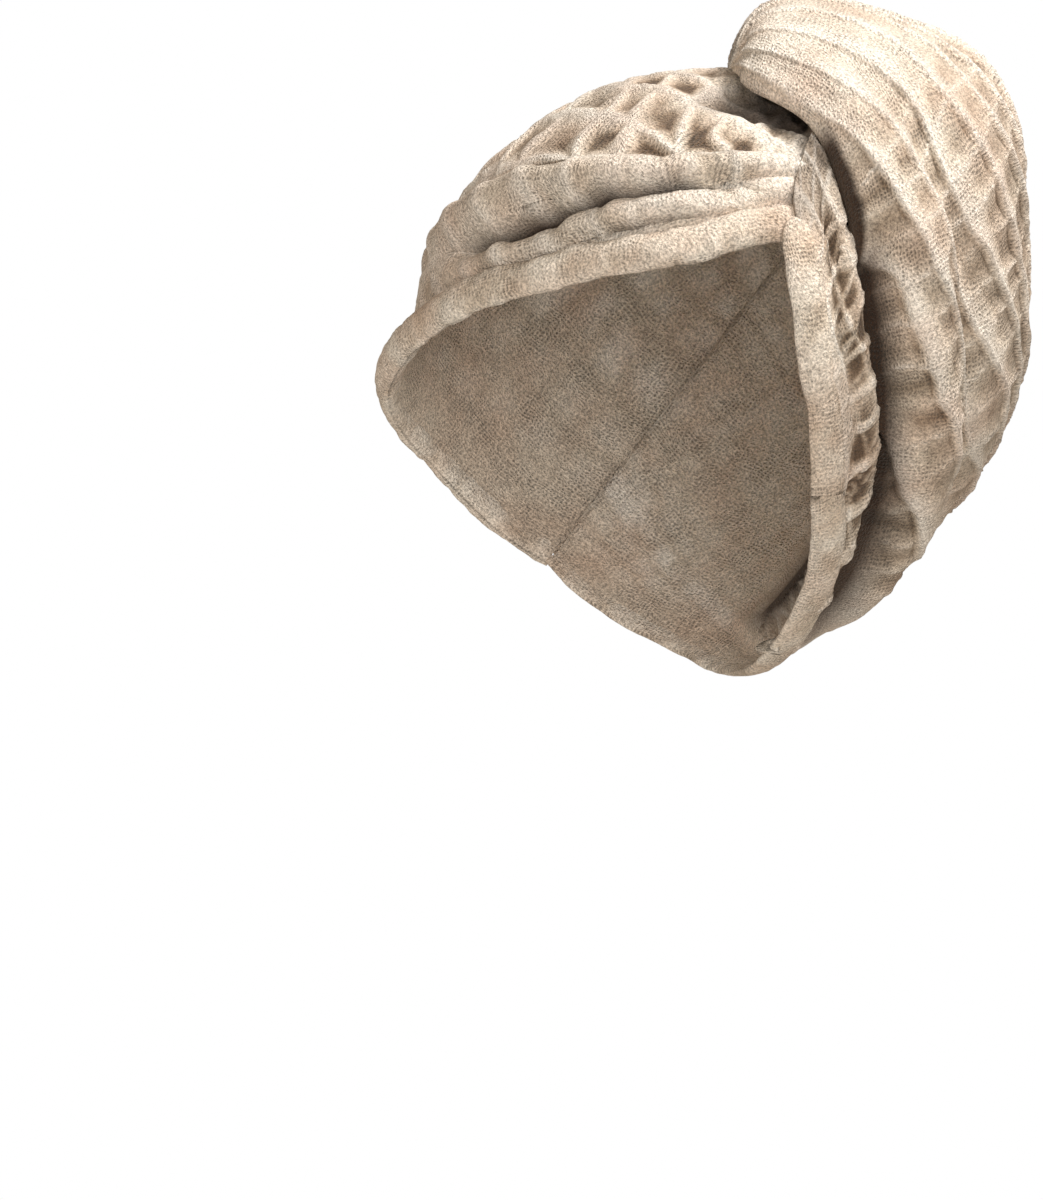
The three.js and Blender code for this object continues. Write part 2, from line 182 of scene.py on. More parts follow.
# %% The lines of the tail
TAIL_ALONG = [0.000, 0.125, 0.250, 0.375, 0.500, 0.625, 0.750, 0.875, 1.000]
FRONT_STEP = [0.3, 0.6, 1, 1, 0.25, 0, 0, 0, 0]
REAR_STEP = [0.1, 0, 0, 0, 0, 0, 0, 0, 0]
TAIL_FRONT = flow_line(TAIL_ALONG, FRONT_STEP, [
    (-57, 42.5, 0.10), (-40, 46, 0.10), (-15, 46.5, 0.05), (9, 59.5, 0.05), (31, 75, 0.12),
    (56, 92.5, 0.15), (85, 109.5, 0.12), (128, 117, 0.15), (173, 112, 0.15),
])
TAIL_CREST = flow_line(TAIL_ALONG, 0, [
    (-61, 41.5, 0.20), (-72, 32, 0.64), (-56, 14, 0.76), (42, 12, 0.92), (76, 33, 0.56),
    (97, 57, 0.46), (118, 78, 0.45), (146, 96, 0.43), (178.5, 111.5, 0.20),
])
TAIL_REAR = flow_line(TAIL_ALONG, REAR_STEP, [
    (-65, 41, 0.10), (-104, 36, 0.10), (-140, 33, 0.10), (-158, 44, 0.15), (-165, 58, 0.30),
    (-168, 72, 0.40), (-170, 86, 0.45), (-172, 99, 0.40), (-176, 110, 0.15),
])
print("rows in the tail's lines:", len(TAIL_FRONT["along"]))

# %% [markdown]
# ## From three lines to a surface
# Between its two edges a panel bulges: it rises steeply from its feet and is fullest over the crest line.
# The tail is rolled, so it rises far more steeply than the side panels. A few broad folds, each a bell in
# section, run along the panels into the twist. The lattice of the waffle comes later, on top of this.

# %% Sizes of the cloth and the folds
CLOTH = 3.0  # thickness, with its raised lattice
CLEARANCE = 1.0  # between the head and the cloth
LAYER_GAP = 0.5  # between the tail and the panels below it
LAYER = CLOTH + LAYER_GAP  # that the tail lies further out than the panels
TWIST_STEP = 6.0  # that cloth climbs over the hem of the other panel
SIDE_FULLNESS = 16.0  # that a side panel bulges
TAIL_FULLNESS = 30.0  # that the tail bulges
FOLD_DEPTH = 6.0
TAIL_NOSE = 0.08  # share of the tail's length over which its end is rounded
MIDDLE = np.array([0.0, 0.0, -CROWN_HEIGHT])  # of the head

# Each fold: from and to along the panel, its place across at both ends, its width, and its rise.
LEFT_FOLDS = [
    (0.08, 0.50, 0.418, 0.408, 0.052, 0.9),
    (0.08, 0.45, 0.285, 0.250, 0.08, 0.6),
    (0.30, 0.60, 0.740, 0.740, 0.16, 0.4),
]
RIGHT_FOLDS = [(0.10, 0.50, 0.450, 0.400, 0.15, -0.2)]
TAIL_FOLDS = [
    (0.25, 0.65, 0.050, 0.050, 0.05, 0.3),
    (0.25, 0.65, 0.130, 0.120, 0.06, -0.5),
    (0.48, 0.68, 0.470, 0.500, 0.09, -0.5),
]


def bell(x):
    """1 in the middle and 0 beyond 1, with soft feet."""
    return np.where(np.abs(x) < 1, (1 + np.cos(np.pi * x)) / 2, 0.0)


def ramp(start, end, at):
    """A soft step from 0 at start to 1 at end."""
    t = np.clip((at - start) / (end - start), 0, 1)
    return t * t * (3 - 2 * t)


def fold_lift(folds, along, across):
    """How far the broad folds lift the cloth, in millimetres."""
    lift = np.zeros(np.broadcast(along, across).shape)
    for start, end, across_start, across_end, width, rise in folds:
        reach = (along - start) / (end - start)
        centre = across_start + (across_end - across_start) * np.clip(reach, 0, 1)
        fade = ramp(-0.3, 0.1, reach) * (1 - ramp(0.8, 1.5, reach))
        lift = lift + rise * FOLD_DEPTH * bell((across - centre) / width) * fade
    return lift


# %% Soft lumps
LUMP_ROWS, LUMP_COLUMNS = 61, 67  # after this many the lumps repeat


def lumps(p, q, size, seed):
    """Smooth hills and hollows between -1 and 1, size millimetres apart, the same in every run."""
    heights = np.random.default_rng(seed).uniform(-1, 1, (LUMP_ROWS, LUMP_COLUMNS))
    x, y = p / size, q / size
    i, j = np.floor(x).astype(int), np.floor(y).astype(int)
    s, t = ramp(0, 1, x - i), ramp(0, 1, y - j)
    i, next_i = i % LUMP_ROWS, (i + 1) % LUMP_ROWS
    j, next_j = j % LUMP_COLUMNS, (j + 1) % LUMP_COLUMNS
    near = heights[i, j] * (1 - t) + heights[i, next_j] * t
    far = heights[next_i, j] * (1 - t) + heights[next_i, next_j] * t
    return near * (1 - s) + far * s


print("lumps at two places:", lumps(np.array([3.0, 30.0]), np.array([5.0, 50.0]), 8.0, 1).round(2))

# %% [markdown]
# ## The deep folds
# Two creases run from the twist down the left panel, narrow slits between fat rolls, and the cloth sinks
# away under the lip of the lobe. On the other side the strip along the face ends in a soft rounded edge,
# and the tail comes out from under it: there both plunge towards the head, which leaves a deep dark valley.
# A short crease of its own runs down the strip from the twist. The shade in these folds, in the valley and
# under the lobe is also painted into the colour of the cloth.

# %% Creases of the left panel
LEFT_LENGTH, LEFT_WIDTH = 330.0, 180.0  # mm, for lumps that wander over the panel
CREASE_ALONG = [0.00, 0.10, 0.14, 0.185, 0.22, 0.28, 0.31, 0.36, 0.42, 0.50, 1.00]
UPPER_CREASE = [0.26, 0.27, 0.30, 0.362, 0.378, 0.370, 0.357, 0.330, 0.335, 0.34, 0.35]
LOWER_CREASE = [0.20, 0.20, 0.18, 0.215, 0.232, 0.210, 0.175, 0.165, 0.163, 0.16, 0.16]
UPPER_CREASE_DEPTH, LOWER_CREASE_DEPTH = 13.5, 11.0
LIP_DEPTH = 6.5  # how far the cloth sinks away under the lip of the lobe
KNOB_HEIGHT = 1.8  # of the small knobs on the rolls between the creases


def gully(x, steep, gentle):
    """1 at 0, with a steep side above it and a gentle side below."""
    return np.where(x > 0, 1 - ramp(0, steep, x), 1 - ramp(0, gentle, -x))


def left_detail(u, a):
    """Millimetres that the left panel rises along its two creases and under the lobe, and its painted shade
    in the creases and under the lip.
    """
    wander = lumps(LEFT_LENGTH * u, LEFT_WIDTH * a, 14.0, 81)
    upper = a - through(CREASE_ALONG, UPPER_CREASE, u) - 0.008 * wander
    lower = a - through(CREASE_ALONG, LOWER_CREASE, u) - 0.010 * wander
    upper_reach = ramp(0.08, 0.24, u) * (1 - ramp(0.42, 0.54, u))
    lower_reach = ramp(0.05, 0.15, u) * (1 - ramp(0.40, 0.50, u)) * (0.65 + 0.40 * wander)
    lip = ramp(0.04, 0.10, u) * (1 - ramp(0.25, 0.33, u)) * ramp(0.64, 0.76, a) * (1 - ramp(0.88, 0.98, a))
    knobs = lumps(LEFT_LENGTH * u, LEFT_WIDTH * a, 8.5, 82) * ramp(0.14, 0.20, a) * (1 - ramp(0.34, 0.42, a))
    knobs = knobs * ramp(0.05, 0.15, u) * (1 - ramp(0.45, 0.60, u))
    rise = (KNOB_HEIGHT * knobs - UPPER_CREASE_DEPTH * gully(upper, 0.030, 0.125) * upper_reach
            - LOWER_CREASE_DEPTH * gully(lower, 0.020, 0.06) * lower_reach - LIP_DEPTH * lip)
    # Painted shade: darker in the two creases, and under the lip of the lobe.
    painted_crease_shade = np.maximum(gully(upper, 0.038, 0.026) * upper_reach, gully(lower, 0.027, 0.018) * lower_reach)
    return rise, np.maximum(np.minimum(1.25 * painted_crease_shade, 1.0), 0.75 * lip)


# %% The valley between the strip and the tail
# Where the front edge of the tail crosses the right panel, as shares along and across that panel.
VALLEY_ALONG = [0.00, 0.07, 0.13, 0.20, 0.33, 0.40, 0.46, 0.52, 0.59, 0.65, 0.72, 0.79, 0.85, 1.00]
VALLEY_ACROSS = [0.82, 0.765, 0.717, 0.725, 0.695, 0.670, 0.630, 0.580, 0.500, 0.44, 0.390, 0.320, 0.27, 0.27]
VALLEY_DEPTH = 11.0  # mm, on the strip's side
SHOULDER = 2.6  # mm that the strip rises before it plunges
SHORT_CREASE_DEPTH = 2.6
SWELL, DIP = 4.0, 1.8  # mm that the tail swells behind its front edge, and dips behind that


def strip_detail(u, a):
    """Millimetres that the strip rises at its edge and sinks beyond it, and its painted shade in the valley
    and under the lobe.
    """
    beyond = a - through(VALLEY_ALONG, VALLEY_ACROSS, u) - 0.011 * lumps(LEFT_LENGTH * u, 0 * a, 13.0, 83)
    reach = ramp(0.04, 0.10, u) * (1 - ramp(0.70, 0.84, u))
    shoulder = SHOULDER * bell((beyond + 0.12) / 0.13)
    plunge = VALLEY_DEPTH * ramp(-0.085, -0.005, beyond) * (1 - ramp(0.85, 1.0, a))
    crease_at = 0.79 - 1.9 * (u - 0.05)
    crease = SHORT_CREASE_DEPTH * bell((a - crease_at) / 0.06)
    crease = crease * ramp(0.03, 0.07, u) * (1 - ramp(0.13, 0.20, u))
    # Painted shade in the valley, and a painted shadow of the lobe over the top of the strip.
    painted_lobe_shadow = np.maximum(0.42, ramp(-0.04, -0.01, beyond)) * (1 - ramp(0.03, 0.15, u))
    return (shoulder - plunge) * reach - crease, np.maximum(ramp(-0.075, -0.015, beyond) * reach, painted_lobe_shadow)


def tail_detail(u, a):
    """Millimetres that the tail plunges at its front edge and swells behind it, and its painted shade along
    that edge.
    """
    wide = 1 + 0.9 * ramp(0.60, 0.70, u)
    plunge = (VALLEY_DEPTH - 1.0) * (1 - ramp(0.0, 0.045, a / wide))
    swell = SWELL * bell((a - 0.080) / 0.055) - DIP * bell((a - 0.145) / 0.05)
    reach = ramp(0.36, 0.44, u) * (1 - ramp(0.73, 0.84, u))
    # Painted shade along the front edge in the valley, and painted contact shade where the lobe lies on the
    # panel.
    painted_contact_shade = (1 - ramp(0.003, 0.016, a)) * ramp(0.24, 0.30, u) * (1 - ramp(0.40, 0.46, u))
    return (swell - plunge) * reach, np.maximum((1 - ramp(0.008, 0.042, a / wide)) * reach, painted_contact_shade)


# %% The three panels
# Layer is how far the panel lies off the head's form, roundness how steeply it rises from its feet (lower
# is steeper), and nose the share of the length over which its end is rounded.
LEFT = dict(first=LEFT_HEM, crest=LEFT_CREST, second=LEFT_TOP, folds=LEFT_FOLDS, detail=left_detail,
            layer=0.0, fullness=SIDE_FULLNESS, roundness=3.0, nose=0.0)
RIGHT = dict(first=RIGHT_HEM, crest=RIGHT_CREST, second=RIGHT_TOP, folds=RIGHT_FOLDS, detail=strip_detail,
             layer=0.0, fullness=SIDE_FULLNESS, roundness=3.0, nose=0.0)
TAIL = dict(first=TAIL_FRONT, crest=TAIL_CREST, second=TAIL_REAR, folds=TAIL_FOLDS, detail=tail_detail,
            layer=LAYER, fullness=TAIL_FULLNESS, roundness=0.45, nose=TAIL_NOSE)


def inner_face(panel, along, across):
    """Points of the face towards the head, one for each along and across, in millimetres."""
    first, first_lift, first_step = on_line(panel["first"], along)
    crest, crest_lift, _ = on_line(panel["crest"], along)
    second, second_lift, second_step = on_line(panel["second"], along)
    u, a = along[:, None], across[None, :]
    weights = ((1 - a) * (1 - 2 * a), 4 * a * (1 - a), a * (2 * a - 1))
    heading = sum(w[..., None] * h[:, None, :] for w, h in zip(weights, (first, crest, second)))
    heading /= np.linalg.norm(heading, axis=-1, keepdims=True)
    end_round = np.sqrt(1 - (1 - np.minimum(u / panel["nose"], 1)) ** 2) if panel["nose"] else 1.0
    bulge = np.sin(np.pi * a) ** panel["roundness"] * end_round
    feet = (first_lift[:, None] * (1 - a) + second_lift[:, None] * a) * SIDE_FULLNESS
    folds = fold_lift(panel["folds"], u, a) * ramp(0, 0.06, a) * ramp(0, 0.06, 1 - a)
    step = (first_step[:, None] * (1 - a) + second_step[:, None] * a) * TWIST_STEP
    lift = feet + (crest_lift[:, None] * panel["fullness"] - feet) * bulge + folds + panel["detail"](u, a)[0]
    return form_point(heading, CLEARANCE + panel["layer"] + step + lift)


NEARBY = 0.002  # share of a panel or a path over which a slope is measured


def outward(panel, along, across):
    """The unit normals of a panel, pointing away from the head."""
    near, far = np.clip(along - NEARBY, 0, 1), np.clip(along + NEARBY, 0, 1)
    low, high = np.clip(across - NEARBY, 0, 1), np.clip(across + NEARBY, 0, 1)
    flow = inner_face(panel, far, across) - inner_face(panel, near, across)
    side = inner_face(panel, along, high) - inner_face(panel, along, low)
    normal = np.cross(flow, side)
    normal /= np.linalg.norm(normal, axis=-1, keepdims=True)
    away = inner_face(panel, along, across) - MIDDLE
    return normal * np.sign((normal * away).sum(-1, keepdims=True))


def spread(steps, power=1.0):
    """Shares from 0 to 1 along a panel, closer together at the start if power is above 1."""
    return (np.arange(steps + 1) / steps) ** power


def spread_across(steps):
    """Shares from 0 to 1 across a panel, closer together at both edges."""
    share = np.arange(steps + 1) / steps
    return share - 0.055 * np.sin(2 * np.pi * share)


sample = inner_face(TAIL, spread(40), spread_across(20))
print("the tail's inner face reaches up to", sample[..., 2].max().round(1), "mm")

# %% [markdown]
# ## Places on the cloth
# The lattice is knitted into the flat cloth, so it has to follow the cloth and not the room. Each point of a
# panel therefore gets its place on the cloth in millimetres: how far it is along the panel, and how far
# across from the first edge. The distances are measured on the surface itself.

# %% Distances along and across
def cloth_places(points, along):
    """Millimetres along and across for each point of a panel's grid."""
    across_steps = np.linalg.norm(np.diff(points, axis=1), axis=-1)
    q = np.concatenate([np.zeros((len(along), 1)), np.cumsum(across_steps, axis=1)], axis=1)
    along_steps = np.linalg.norm(np.diff(points, axis=0), axis=-1)
    middle = along_steps[:, along_steps.shape[1] // 4]
    p = np.concatenate([[0.0], np.cumsum(middle)])[:, None] * np.ones_like(q)
    return p, q


length, breadth = cloth_places(sample, spread(40))
print("the tail is", length.max().round(), "mm long and up to", breadth.max().round(), "mm wide")

# %% [markdown]
# ## The raised lattice
# Waffle cloth is knitted with floats that pull the ground into cells. Wrapped tight, the cells lean: the
# ridges that run along the tail stand up like low steps, with a thin shadow below each crest, and a second
# family of fainter ridges crosses them. Both families are heights between 0, the floor of a cell, and 1,
# the crest. They are cut into the thickness of the cloth, so the lattice never swells beyond the panel.

# %% Ridges
def step_ridge(phase):
    """A ridge at each whole number: a gentle slope above its crest, a steep face below it, and a narrow
    groove at the foot of that face, which the material paints darkest: a painted shadow line under each
    crest."""
    f = phase - np.floor(phase)
    floor = 0.16 * (1 - bell((f - 0.90) / 0.06))
    return np.clip(1 - 1.03 * ramp(-0.1, 0.68, f) + ramp(0.90, 1.0, f), floor, 1)


def cord_ridge(phase, width):
    """A round ridge at each whole number, width as a share of the spacing."""
    f = np.abs(phase - np.round(phase))
    return bell(f / width)


def cell_wall(phase, width):
    """A narrow rounded crest at each whole number, whose walls slope down to the middle of the cells."""
    f = np.abs(phase - np.round(phase))
    return 1 - np.clip((f - 0.07) / (width - 0.07), 0, 1) ** 0.8


# %% Counting ridges
def count_ridges(keys, table, at, over, extra=0):
    """Counts ridges: a whole number on each. A row of the table says where one ridge lies, at each key, and
    extra ones are spread evenly from the last row to 1."""
    places = np.stack([through(keys, row, at) for row in table], -1)
    last = places[:, -1:]
    places = np.concatenate([places, last + (1 - last) * np.arange(1, extra + 1) / max(extra, 1)], 1)
    return np.stack([np.interp(over, row, np.arange(len(row))) for row in places])


# %% The ridges of the tail
# Where each ridge crosses the tail, as a share of the width, at these shares of the length. The ridges run
# out from under the front edge one after the other, and fan over the crown.
TAIL_AT = [0.00, 0.15, 0.25, 0.32, 0.38, 0.44, 0.50, 0.56, 0.62, 0.70, 0.85, 1.00]
TAIL_RIDGES = [
    [-0.20, -0.20, -0.20, -0.20, -0.20, -0.15, -0.12, -0.08, -0.04, 0.02, 0.12, 0.20],
    [-0.12, -0.12, -0.13, -0.12, -0.10, -0.06, -0.03, 0.00, 0.03, 0.08, 0.19, 0.28],
    [-0.05, -0.05, -0.06, -0.04, -0.015, 0.033, 0.054, 0.062, 0.085, 0.14, 0.26, 0.36],
    [0.03, 0.017, 0.010, 0.035, 0.052, 0.064, 0.091, 0.120, 0.155, 0.23, 0.34, 0.44],
    [0.09, 0.070, 0.058, 0.079, 0.093, 0.107, 0.150, 0.188, 0.260, 0.32, 0.42, 0.52],
    [0.18, 0.160, 0.167, 0.156, 0.147, 0.168, 0.225, 0.280, 0.330, 0.39, 0.49, 0.59],
    [0.29, 0.275, 0.252, 0.215, 0.217, 0.262, 0.305, 0.335, 0.400, 0.46, 0.56, 0.66],
    [0.42, 0.420, 0.355, 0.300, 0.295, 0.360, 0.420, 0.450, 0.490, 0.54, 0.63, 0.72],
]
TAIL_REAR_RIDGES = 10
TAIL_CROSS_PITCH = 15.5  # mm between the ridges that cross it

# %% The ridges of the left panel
# The same for the left panel: the long ridges first, then the ones that cross it, which are given as shares
# of the length at these shares of the width.
LEFT_AT = [0.00, 0.10, 0.20, 0.27, 0.34, 0.41, 0.50, 0.60, 0.75, 1.00]
LEFT_RIDGES = [
    [0.08, 0.10, 0.12, 0.13, 0.14, 0.15, 0.16, 0.17, 0.17, 0.16],
    [0.17, 0.20, 0.25, 0.28, 0.30, 0.31, 0.32, 0.33, 0.32, 0.29],
    [0.24, 0.31, 0.37, 0.44, 0.46, 0.47, 0.49, 0.50, 0.47, 0.42],
    [0.33, 0.40, 0.455, 0.556, 0.612, 0.633, 0.645, 0.65, 0.62, 0.55],
    [0.42, 0.55, 0.665, 0.690, 0.712, 0.720, 0.730, 0.735, 0.71, 0.66],
    [0.54, 0.67, 0.775, 0.770, 0.775, 0.785, 0.800, 0.810, 0.80, 0.77],
    [0.70, 0.80, 0.860, 0.850, 0.850, 0.860, 0.870, 0.880, 0.88, 0.87],
]
LEFT_ACROSS = [0.00, 0.40, 0.50, 0.60, 0.70, 0.80, 1.00]
LEFT_CROSSINGS = [
    [-0.02, 0.01, 0.02, 0.03, 0.04, 0.06, 0.08],
    [0.02, 0.05, 0.07, 0.09, 0.105, 0.12, 0.15],
    [0.07, 0.10, 0.12, 0.15, 0.160, 0.18, 0.22],
    [0.11, 0.15, 0.175, 0.205, 0.218, 0.240, 0.30],
    [0.15, 0.20, 0.230, 0.250, 0.275, 0.305, 0.38],
    [0.22, 0.28, 0.300, 0.303, 0.327, 0.392, 0.47],
    [0.28, 0.33, 0.345, 0.350, 0.380, 0.465, 0.56],
    [0.34, 0.39, 0.405, 0.415, 0.460, 0.540, 0.64],
]
LEFT_REAR_CROSSINGS = 11
LEFT_TOP_RIDGES = 2
print("ridges along the tail and along the left panel:", len(TAIL_RIDGES) + TAIL_REAR_RIDGES,
      len(LEFT_RIDGES) + LEFT_TOP_RIDGES)


# %% The lattice of the tail
def tail_lattice(u, a, p, q):
    """Height of the lattice on the tail."""
    rows = count_ridges(TAIL_AT, TAIL_RIDGES, u[:, 0], a[0], TAIL_REAR_RIDGES)
    rows = rows + 0.09 * lumps(p, q, 22.0, 11) + 0.04 * lumps(p, q, 8.0, 12)
    cross = (p + 0.19 * q) / TAIL_CROSS_PITCH + 0.34 * lumps(p, q, 30.0, 13) + 0.10 * lumps(p, q, 8.0, 14)
    strong = (0.35 + 0.65 * ramp(0.27, 0.36, u)) * (0.88 + 0.22 * lumps(p, q, 26.0, 15))
    step = 1 - (1 - step_ridge(rows)) * strong
    cells = np.maximum(0.85 * cord_ridge(cross, 0.11), 0.40 * cell_wall(cross, 0.5))
    cells = cells * (0.85 + 0.35 * lumps(p, q, 16.0, 16)) * ramp(0.24, 0.36, u)
    height = 1 - (1 - step) * (1 - np.clip(cells, 0, 1))
    # A thin cord on each crest, raised a little and painted paler by the colour ramp: partly relief, partly a
    # painted highlight line.
    return np.clip(height + 0.16 * cord_ridge(rows, 0.09) * strong, 0, 1.2)


# %% The lattice of the left panel
def side_lattice(u, a, p, q):
    """Height of the lattice on the left panel: wide pale bands round cells, smoother on the pleats."""
    rows = count_ridges(LEFT_AT, LEFT_RIDGES, u[:, 0], a[0], LEFT_TOP_RIDGES)
    cross = count_ridges(LEFT_ACROSS, LEFT_CROSSINGS, a[0], u[:, 0], LEFT_REAR_CROSSINGS).T
    rows = rows + 0.12 * lumps(p, q, 20.0, 21) + 0.09 * lumps(p, q, 7.0, 24)
    cross = cross + 0.16 * lumps(p, q, 20.0, 22) + 0.10 * lumps(p, q, 7.0, 25)
    strong = (0.45 + 0.55 * ramp(0.380, 0.500, a)) * (0.85 + 0.35 * lumps(p, q, 13.0, 23))
    strong = strong * ramp(0.05, 0.17, u)
    bands = np.maximum(cell_wall(rows, 0.36), 0.94 * cell_wall(cross, 0.34))
    return np.clip(1 - (1 - bands) * strong, 0, 1.15)


# %% The lattice of the strip
# A row of hollows, one behind the other, runs along the edge of the strip.
STRIP_PITCH = (11.0, 12.0)  # mm between its ridges, along and across
HOLLOW_DEPTH = 0.72  # share of the lattice's height
HOLLOW_REACH = 12.0  # mm from the middle of a hollow to its edge
HOLLOW_ALONG = [0.00, 0.10, 0.15, 0.21, 0.28, 0.321, 0.364, 0.41, 0.46, 0.51, 0.57, 0.64, 0.72, 0.85, 1.00]
HOLLOW_ACROSS = [0.44, 0.49, 0.505, 0.54, 0.575, 0.55, 0.53, 0.50, 0.47, 0.42, 0.37, 0.31, 0.27, 0.25, 0.25]


def strip_lattice(u, a, p, q):
    """Height of the lattice on the right panel: stretched flat along the face, hollow along its edge."""
    rows = (q - 0.22 * p) / STRIP_PITCH[0] + 0.40 * lumps(p, q, 26.0, 31)
    cross = (p + 0.6 * q) / STRIP_PITCH[1] + 0.40 * lumps(p, q, 24.0, 32)
    bands = np.maximum(cord_ridge(rows, 0.24), 0.85 * cord_ridge(cross, 0.22))
    strong = (0.45 + 0.25 * lumps(p, q, 20.0, 33)) * (0.3 + 0.7 * ramp(6.0, 16.0, q))
    count = np.interp(u, HOLLOW_ALONG, np.arange(len(HOLLOW_ALONG)) - 0.5)
    centre = through(HOLLOW_ALONG, HOLLOW_ACROSS, u)
    width = q[:, -1:]
    between = 1 - ramp(0.05, 0.80, cord_ridge(count + 0.18 * lumps(p, q, 10.0, 34), 0.28))
    reach = HOLLOW_REACH + 2.0 * lumps(p, 0 * q, 14.0, 36)
    near = bell((a - centre) * width / reach) * ramp(0.06, 0.14, u)
    hollow = between * near * (0.85 + 0.35 * lumps(p, q, 12.0, 35))
    return np.clip(1 - (1 - bands) * strong - HOLLOW_DEPTH * hollow, 0, 1.1)


# %% [markdown]
# ## From points to a mesh
# A piece of cloth is one closed shell: a fine outer face that carries the lattice, a coarser inner face, and
# a narrow rim between them. The mesh also keeps three things for its material: each point's place on the
# cloth, as a UV map in metres, the height of the lattice there, and the painted shade of the folds there.

# %% Shells of cloth
RIM_STRIDE = 3  # the inner face has one row of points for every three of the outer face
EDGE = 5.0  # mm at the edge of a panel where the lattice fades out
SHOW_THROUGH = 0.35  # mm that the lattice shows on the inner face


def mesh_object(name, points, faces, places, lattice, painted_shade, material):
    """A smooth object from points in millimetres, with its places on the cloth, its lattice height, and the
    painted shade of the folds, from 0 to 1."""
    mesh = bpy.data.meshes.new(name)
    mesh.from_pydata([tuple(p) for p in np.asarray(points) * MM], [], faces)
    loops = np.zeros(len(mesh.loops), int)
    mesh.loops.foreach_get("vertex_index", loops)
    cloth_map = mesh.uv_layers.new(name="cloth")
    cloth_map.data.foreach_set("uv", (np.asarray(places)[loops] * MM).ravel())
    for kept, values in (("lattice", lattice), ("painted_shade", painted_shade)):
        mesh.attributes.new(kept, "FLOAT", "POINT").data.foreach_set("value", np.asarray(values, float))
    mesh.polygons.foreach_set("use_smooth", [True] * len(mesh.polygons))
    mesh.validate()
    made = bpy.data.objects.new(name, mesh)
    bpy.context.scene.collection.objects.link(made)
    made.data.materials.append(material)
    print(name, "has", len(mesh.polygons), "faces")
    return made


def grid_faces(number, flip):
    """Quads between the point numbers of a grid."""
    quads = np.stack([number[:-1, :-1], number[1:, :-1], number[1:, 1:], number[:-1, 1:]], -1).reshape(-1, 4)
    return (quads[:, ::-1] if flip else quads).tolist()


def rim_faces(outer, inner, flip):
    """Faces from a fine row of point numbers to a coarse one."""
    faces = []
    for k in range(len(inner) - 1):
        fine = list(outer[k * RIM_STRIDE:(k + 1) * RIM_STRIDE + 1])
        face = fine + [inner[k + 1], inner[k]]
        faces.append(face[::-1] if flip else face)
    return faces


def cloth_shell(name, panel, lattice, depth, proud, steps_along, steps_across, power, material):
    """A panel of waffle cloth as a closed shell. Depth is how deep the cells are, in millimetres, and proud
    how far the crests stand above the plain panel."""
    along, across = spread(steps_along, power), spread_across(steps_across)
    inner = inner_face(panel, along, across)
    normal = outward(panel, along, across)
    p, q = cloth_places(inner + normal * CLOTH, along)
    u, a = along[:, None] * np.ones_like(q), across[None, :] * np.ones_like(q)
    height = lattice(u, a, p, q)
    edge = ramp(0, EDGE, q) * ramp(0, EDGE, q[:, -1:] - q)
    height = 1 - (1 - height) * edge
    soft = 0.30 * lumps(p, q, 9.0, 41) + 0.14 * lumps(p, q, 3.2, 42) + 0.10 * lumps(p, q, 1.6, 43)
    outer = inner + normal * (CLOTH - depth * (1.0 - height) + (soft + proud) * edge)[..., None]
    coarse = (slice(None, None, RIM_STRIDE), slice(None, None, RIM_STRIDE))
    low = inner[coarse] + normal[coarse] * (SHOW_THROUGH * (1 - height[coarse]))[..., None]
    outside = np.arange(q.size).reshape(q.shape)
    inside = q.size + np.arange(q[coarse].size).reshape(q[coarse].shape)
    faces = grid_faces(outside, False) + grid_faces(inside, True)
    faces += rim_faces(outside[0], inside[0], False) + rim_faces(outside[-1], inside[-1], True)
    faces += rim_faces(outside[:, 0], inside[:, 0], True) + rim_faces(outside[:, -1], inside[:, -1], False)
    points = np.concatenate([outer.reshape(-1, 3), low.reshape(-1, 3)])
    place = np.stack([p, q], -1)
    places = np.concatenate([place.reshape(-1, 2), place[coarse].reshape(-1, 2)])
    heights = np.concatenate([height.ravel(), 1 - 0.5 * height[coarse].ravel()])
    # The painted shade of the folds, from the panel's detail function.
    painted_shade = panel["detail"](u, a)[1]
    painted_shade = np.concatenate([painted_shade.ravel(), painted_shade[coarse].ravel()])
    made = mesh_object(name, points, faces, places, heights, painted_shade, material)
    turn_faces_out(made)
    return made


def turn_faces_out(made):
    """Turns the faces round if the closed mesh is inside out."""
    mesh = made.data
    mesh.calc_loop_triangles()
    spots = np.zeros(len(mesh.vertices) * 3)
    mesh.vertices.foreach_get("co", spots)
    numbers = np.zeros(len(mesh.loop_triangles) * 3, int)
    mesh.loop_triangles.foreach_get("vertices", numbers)
    corners = spots.reshape(-1, 3)[numbers.reshape(-1, 3)]
    volume = (corners[:, 0] * np.cross(corners[:, 1], corners[:, 2])).sum() / 6
    if volume < 0:
        mesh.flip_normals()
    print(made.name, "holds", round(abs(volume) * 1e6, 1), "ml,", "turned" if volume < 0 else "right way out")


# %% [markdown]
# ## Colours
# Colours are written as the hex values that a picture editor shows. Blender's sockets want linear light, so
# one function turns the one into the other.

# %% Hex to linear
def hex_colour(text):
    """An sRGB hex colour as linear red, green, blue and alpha."""
    parts = [int(text[i:i + 2], 16) / 255 for i in (1, 3, 5)]
    return [c / 12.92 if c <= 0.04045 else ((c + 0.055) / 1.055) ** 2.4 for c in parts] + [1.0]


print("beige in linear light:", [round(c, 3) for c in hex_colour("#cdbfa6")])


